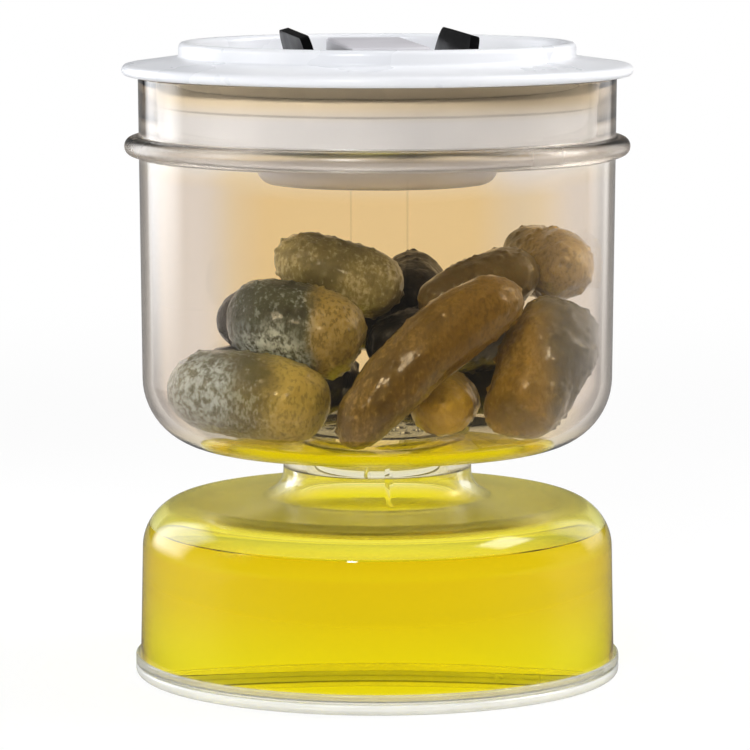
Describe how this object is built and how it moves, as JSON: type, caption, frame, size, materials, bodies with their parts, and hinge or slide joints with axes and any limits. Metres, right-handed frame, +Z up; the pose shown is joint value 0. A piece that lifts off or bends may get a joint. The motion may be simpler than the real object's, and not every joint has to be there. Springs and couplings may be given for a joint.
{
  "type": "hourglass pickle jar",
  "caption": "Clear hourglass pickle jar: a gherkin bowl drains through a strainer neck into a brine dome, under a white lid with fold-out wings that squeeze its gasket tight.",
  "frame": {"origin": "middle of the foot, on the surface that the jar stands on", "axes": "+Z up along the jar's axis, -Y to the front, +X to the right; the lid's wings lie along Y"},
  "size_m": [0.125, 0.125, 0.1582],
  "materials": {
    "clear_plastic": "clear moulded plastic, glossy",
    "brine_liquid": "clear golden liquid",
    "base_plastic": "pale translucent moulded plastic",
    "lid_white": "white moulded plastic, satin gloss",
    "silicone": "pale silicone, matte",
    "seal_rubber": "dark rubber, matte",
    "cover_grey": "light grey moulded plastic, fine texture",
    "wing_black": "black moulded plastic, satin",
    "steel": "ground stainless steel",
    "gherkin_skin": "wet, warty olive-brown pickle skin"
  },
  "bodies": {
    "jar": {"base_cap": "base_plastic", "base_seal": "silicone", "brine_dome": "clear_plastic", "brine": "brine_liquid", "pickle_bowl": "clear_plastic", "strainer": "clear_plastic", "gherkin_1": "gherkin_skin", "gherkin_2": "gherkin_skin", "gherkin_3": "gherkin_skin", "gherkin_4": "gherkin_skin", "gherkin_5": "gherkin_skin", "gherkin_6": "gherkin_skin", "gherkin_7": "gherkin_skin", "gherkin_8": "gherkin_skin", "gherkin_9": "gherkin_skin", "gherkin_10": "gherkin_skin", "gherkin_11": "gherkin_skin", "gherkin_12": "gherkin_skin", "gherkin_13": "gherkin_skin"},
    "lid": {"lid_cap": "lid_white", "lid_gasket": "silicone", "stem_seals": "seal_rubber", "yoke_cover": "cover_grey"},
    "plate": {"pressure_plate": "lid_white", "yoke": "cover_grey", "yoke_screws": "steel", "wing_pin_left": "steel", "wing_pin_right": "steel"},
    "wing_left": {"wing_left": "wing_black"},
    "wing_right": {"wing_right": "wing_black"}
  },
  "joints": [
    {"name": "lid_lift", "type": "slide", "parent": "jar", "child": "lid", "axis": [0, 0, 1], "range_m": [0, 0.07]},
    {"name": "plate_pull", "type": "slide", "parent": "lid", "child": "plate", "axis": [0, 0, 1], "range_m": [0, 0.0015], "deforming": ["lid_gasket"]},
    {"name": "wing_left_fold", "type": "hinge", "parent": "plate", "child": "wing_left", "pos_m": [-0.0157, 0, 0.13965], "axis": [0, -1, 0], "range_deg": [0, 75]},
    {"name": "wing_right_fold", "type": "hinge", "parent": "plate", "child": "wing_right", "pos_m": [0.0157, 0, 0.13965], "axis": [0, 1, 0], "range_deg": [0, 75]}
  ],
  "couplings": [
    {"joint": "wing_right_fold", "follows": "wing_left_fold", "ratio": 1},
    {"joint": "plate_pull", "follows": "wing_left_fold", "m_per_rad": 0.0011459}
  ]
}
